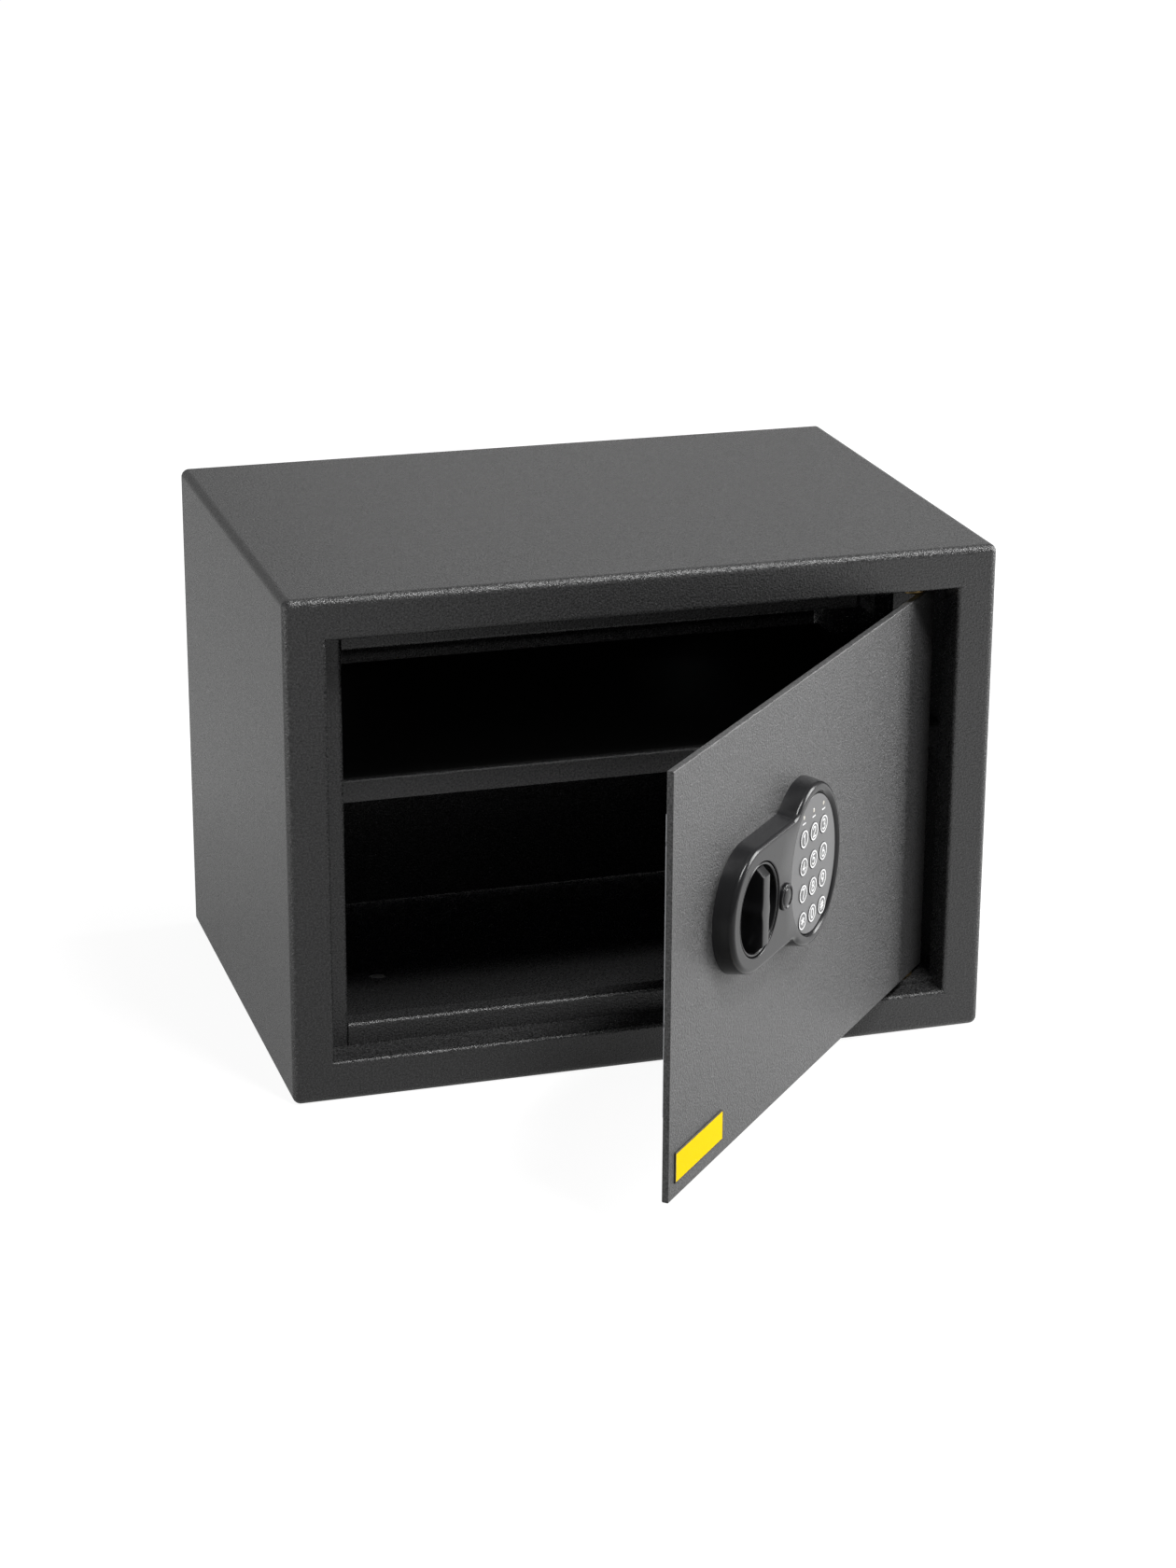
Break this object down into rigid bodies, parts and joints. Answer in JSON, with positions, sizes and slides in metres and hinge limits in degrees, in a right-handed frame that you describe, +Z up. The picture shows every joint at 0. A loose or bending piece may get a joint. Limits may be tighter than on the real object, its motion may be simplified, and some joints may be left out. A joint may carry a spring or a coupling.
{
  "type": "electronic safe",
  "caption": "Small steel safe with a hinged door, recessed knob, keypad lock, sliding bolts, inner shelf and anchor holes.",
  "frame": {"origin": "centre of the cabinet's underside", "axes": "+Z up, the front faces -Y, the hinge is on the +X side"},
  "size_m": [0.35, 0.4428, 0.25],
  "materials": {
    "cabinet_paint": "fine textured charcoal powder coat",
    "door_paint": "fine textured grey powder coat",
    "shelf_paint": "smooth black enamel",
    "panel_black": "satin black moulding",
    "black_plastic": "matt black",
    "keypad_grey": "satin grey",
    "lens": "clear tinted",
    "label_yellow": "satin",
    "steel": "bright",
    "zinc": "zinc plated",
    "chrome": "polished",
    "brass": "satin",
    "nylon": "natural",
    "board_green": "solder mask",
    "ribbon_grey": "matt",
    "coil": "enamelled wire",
    "wire_red": "satin",
    "cell": "wrapped cell"
  },
  "bodies": {
    "cabinet": {"cabinet_shell": "cabinet_paint", "back_panel": "cabinet_paint", "stop_strip_left": "cabinet_paint", "stop_strip_top": "cabinet_paint", "stop_strip_bottom": "cabinet_paint", "shelf": "shelf_paint", "shelf_supports": "cabinet_paint", "hinge_bracket_top": "cabinet_paint", "hinge_bracket_bottom": "cabinet_paint", "hinge_washers": "brass"},
    "knob": {"knob": "panel_black", "knob_cam": "zinc"},
    "bolts": {"bolt_carriage": "zinc", "locking_bolts": "chrome"},
    "plunger": {"solenoid_plunger": "steel", "plunger_spring": "steel"},
    "key_plug": {"lock_plug": "chrome", "lock_cam": "zinc"},
    "cap": {"key_cap": "panel_black"},
    "battery_lid": {"battery_cover": "black_plastic"},
    "reset": {"reset_button": "wire_red"},
    "button_1": {"key_1": "keypad_grey"},
    "button_2": {"key_2": "keypad_grey"},
    "button_3": {"key_3": "keypad_grey"},
    "button_4": {"key_4": "keypad_grey"},
    "button_5": {"key_5": "keypad_grey"},
    "button_6": {"key_6": "keypad_grey"},
    "button_7": {"key_7": "keypad_grey"},
    "button_8": {"key_8": "keypad_grey"},
    "button_9": {"key_9": "keypad_grey"},
    "button_star": {"key_star": "keypad_grey"},
    "button_0": {"key_0": "keypad_grey"},
    "button_hash": {"key_hash": "keypad_grey"},
    "door": {"door_plate": "door_paint", "hinge_blocks": "door_paint", "hinge_pins": "steel", "label_plate": "label_yellow", "panel_housing": "panel_black", "panel_screws": "steel", "keypad_face": "keypad_grey", "status_lenses": "lens", "keypad_board": "board_green", "keypad_ribbon": "ribbon_grey", "knob_bush": "nylon", "bolt_guide": "zinc", "bolt_bushes": "nylon", "guide_posts": "zinc", "solenoid_frame": "zinc", "solenoid_coil": "coil", "lock_body": "chrome", "lock_nut": "steel", "circuit_board": "board_green", "board_posts": "nylon", "wire_leads": "wire_red", "lock_cover": "door_paint", "cover_posts": "zinc", "cover_screws": "steel", "battery_tray": "black_plastic", "batteries": "cell", "battery_contacts": "steel"}
  },
  "joints": [
    {"name": "door_hinge", "type": "hinge", "parent": "cabinet", "child": "door", "pos_m": [0.1401, -0.1005, 0.125], "axis": [0, 0, 1], "range_deg": [-47.2, 52.8]},
    {"name": "knob_turn", "type": "hinge", "parent": "door", "child": "knob", "pos_m": [-0.00415, -0.26731, 0.1388], "axis": [0.7337, -0.6794, 0], "range_deg": [0, 90]},
    {"name": "bolt_slide", "type": "slide", "parent": "door", "child": "bolts", "axis": [-0.6794, -0.7337, 0], "range_m": [0, 0.02]},
    {"name": "plunger_slide", "type": "slide", "parent": "door", "child": "plunger", "axis": [0, 0, 1], "range_m": [-0.0045, 0], "stiffness_N_per_m": 60, "springref_m": -0.012, "deforming": ["plunger_spring"]},
    {"name": "key_turn", "type": "hinge", "parent": "door", "child": "key_plug", "pos_m": [0.01508, -0.24654, 0.135], "axis": [-0.7337, 0.6794, 0], "range_deg": [0, 90]},
    {"name": "cap_pull", "type": "slide", "parent": "door", "child": "cap", "axis": [0.7337, -0.6794, 0], "range_m": [0, 0.025]},
    {"name": "battery_lid_off", "type": "slide", "parent": "door", "child": "battery_lid", "axis": [-0.7337, 0.6794, 0], "range_m": [0, 0.03]},
    {"name": "reset_press", "type": "slide", "parent": "door", "child": "reset", "axis": [0.7337, -0.6794, 0], "range_m": [0, 0.001], "stiffness_N_per_m": 300, "springref_m": -0.001},
    {"name": "press_1", "type": "slide", "parent": "door", "child": "button_1", "axis": [-0.7337, 0.6794, 0], "range_m": [0, 0.0005], "stiffness_N_per_m": 400, "springref_m": -0.001},
    {"name": "press_2", "type": "slide", "parent": "door", "child": "button_2", "axis": [-0.7337, 0.6794, 0], "range_m": [0, 0.0005], "stiffness_N_per_m": 400, "springref_m": -0.001},
    {"name": "press_3", "type": "slide", "parent": "door", "child": "button_3", "axis": [-0.7337, 0.6794, 0], "range_m": [0, 0.0005], "stiffness_N_per_m": 400, "springref_m": -0.001},
    {"name": "press_4", "type": "slide", "parent": "door", "child": "button_4", "axis": [-0.7337, 0.6794, 0], "range_m": [0, 0.0005], "stiffness_N_per_m": 400, "springref_m": -0.001},
    {"name": "press_5", "type": "slide", "parent": "door", "child": "button_5", "axis": [-0.7337, 0.6794, 0], "range_m": [0, 0.0005], "stiffness_N_per_m": 400, "springref_m": -0.001},
    {"name": "press_6", "type": "slide", "parent": "door", "child": "button_6", "axis": [-0.7337, 0.6794, 0], "range_m": [0, 0.0005], "stiffness_N_per_m": 400, "springref_m": -0.001},
    {"name": "press_7", "type": "slide", "parent": "door", "child": "button_7", "axis": [-0.7337, 0.6794, 0], "range_m": [0, 0.0005], "stiffness_N_per_m": 400, "springref_m": -0.001},
    {"name": "press_8", "type": "slide", "parent": "door", "child": "button_8", "axis": [-0.7337, 0.6794, 0], "range_m": [0, 0.0005], "stiffness_N_per_m": 400, "springref_m": -0.001},
    {"name": "press_9", "type": "slide", "parent": "door", "child": "button_9", "axis": [-0.7337, 0.6794, 0], "range_m": [0, 0.0005], "stiffness_N_per_m": 400, "springref_m": -0.001},
    {"name": "press_star", "type": "slide", "parent": "door", "child": "button_star", "axis": [-0.7337, 0.6794, 0], "range_m": [0, 0.0005], "stiffness_N_per_m": 400, "springref_m": -0.001},
    {"name": "press_0", "type": "slide", "parent": "door", "child": "button_0", "axis": [-0.7337, 0.6794, 0], "range_m": [0, 0.0005], "stiffness_N_per_m": 400, "springref_m": -0.001},
    {"name": "press_hash", "type": "slide", "parent": "door", "child": "button_hash", "axis": [-0.7337, 0.6794, 0], "range_m": [0, 0.0005], "stiffness_N_per_m": 400, "springref_m": -0.001}
  ],
  "couplings": [
    {"joint": "knob_turn", "follows": "bolt_slide", "rad_per_m": 78.539}
  ]
}
